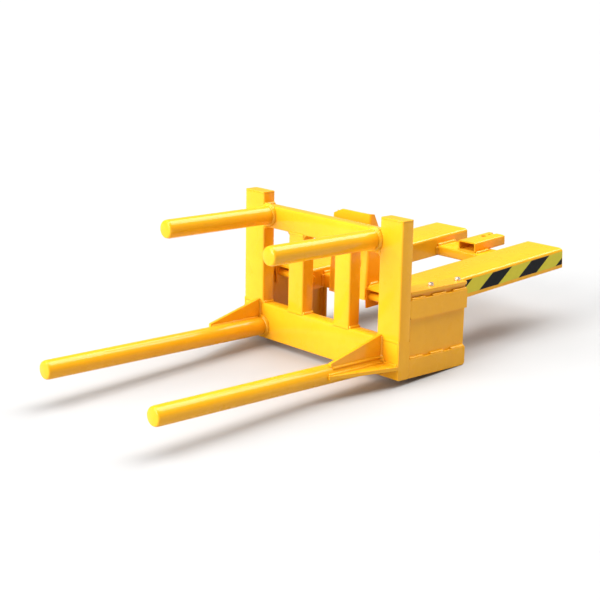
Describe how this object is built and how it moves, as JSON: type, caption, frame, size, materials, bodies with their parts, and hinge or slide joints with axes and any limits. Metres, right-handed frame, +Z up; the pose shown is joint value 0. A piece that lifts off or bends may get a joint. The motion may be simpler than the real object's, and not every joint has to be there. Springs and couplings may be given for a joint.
{
  "type": "pallet fork attachment",
  "caption": "Yellow steel pallet fork attachment: round tines on a tilting welded frame, carried by a base with fork pockets.",
  "frame": {"origin": "bottom centre of the bounding box, with the head in the pose shown", "axes": "+Z up from the truck's forks, +Y along the fork pockets towards the truck, -Y where the tines point, +X to the right seen from the tine tips looking along +Y"},
  "size_m": [0.61, 1.4284, 0.4266],
  "materials": {
    "yellow_enamel": "gloss",
    "zinc_plate": "satin",
    "bronze": "satin"
  },
  "bodies": {
    "base": {"fork_pocket_left": "yellow_enamel", "pocket_strap_front_left": "yellow_enamel", "pocket_strap_rear_left": "yellow_enamel", "pivot_pin_left": "yellow_enamel", "pin_collar_left": "zinc_plate", "clamp_stud_left": "zinc_plate", "clamp_washer_left": "zinc_plate", "clamp_nut_left": "zinc_plate", "fork_pocket_right": "yellow_enamel", "pocket_strap_front_right": "yellow_enamel", "pocket_strap_rear_right": "yellow_enamel", "pivot_pin_right": "yellow_enamel", "pin_collar_right": "zinc_plate", "clamp_stud_right": "zinc_plate", "clamp_washer_right": "zinc_plate", "clamp_nut_right": "zinc_plate", "front_cross_tube": "yellow_enamel", "middle_cross_tube": "yellow_enamel", "rear_cross_tube": "yellow_enamel", "receiver_tube": "yellow_enamel", "tower_bracket": "yellow_enamel"},
    "head": {"bottom_rail": "yellow_enamel", "top_rail": "yellow_enamel", "bottom_rail_cap_left": "yellow_enamel", "upright_left": "yellow_enamel", "upright_cap_left": "yellow_enamel", "inner_post_left": "yellow_enamel", "lower_tine_left": "yellow_enamel", "upper_tine_left": "yellow_enamel", "tine_gusset_left": "yellow_enamel", "tine_wing_left": "yellow_enamel", "box_cheek_left": "yellow_enamel", "pivot_bush_left": "bronze", "box_panel_left": "yellow_enamel", "box_lower_bar_left": "yellow_enamel", "box_upper_bar_left": "yellow_enamel", "box_rear_plate_left": "yellow_enamel", "box_nut_bar_left": "yellow_enamel", "box_cover_left": "yellow_enamel", "cover_bolt_left_1": "zinc_plate", "cover_bolt_left_2": "zinc_plate", "bottom_rail_cap_right": "yellow_enamel", "upright_right": "yellow_enamel", "upright_cap_right": "yellow_enamel", "inner_post_right": "yellow_enamel", "lower_tine_right": "yellow_enamel", "upper_tine_right": "yellow_enamel", "tine_gusset_right": "yellow_enamel", "tine_wing_right": "yellow_enamel", "box_cheek_right": "yellow_enamel", "pivot_bush_right": "bronze", "box_panel_right": "yellow_enamel", "box_lower_bar_right": "yellow_enamel", "box_upper_bar_right": "yellow_enamel", "box_rear_plate_right": "yellow_enamel", "box_nut_bar_right": "yellow_enamel", "box_cover_right": "yellow_enamel", "cover_bolt_right_1": "zinc_plate", "cover_bolt_right_2": "zinc_plate"}
  },
  "joints": [
    {"name": "head_tilt", "type": "hinge", "parent": "base", "child": "head", "pos_m": [0, 0.0772, 0.18462], "axis": [-1, 0, 0], "range_deg": [-3.9, 6.1]}
  ]
}
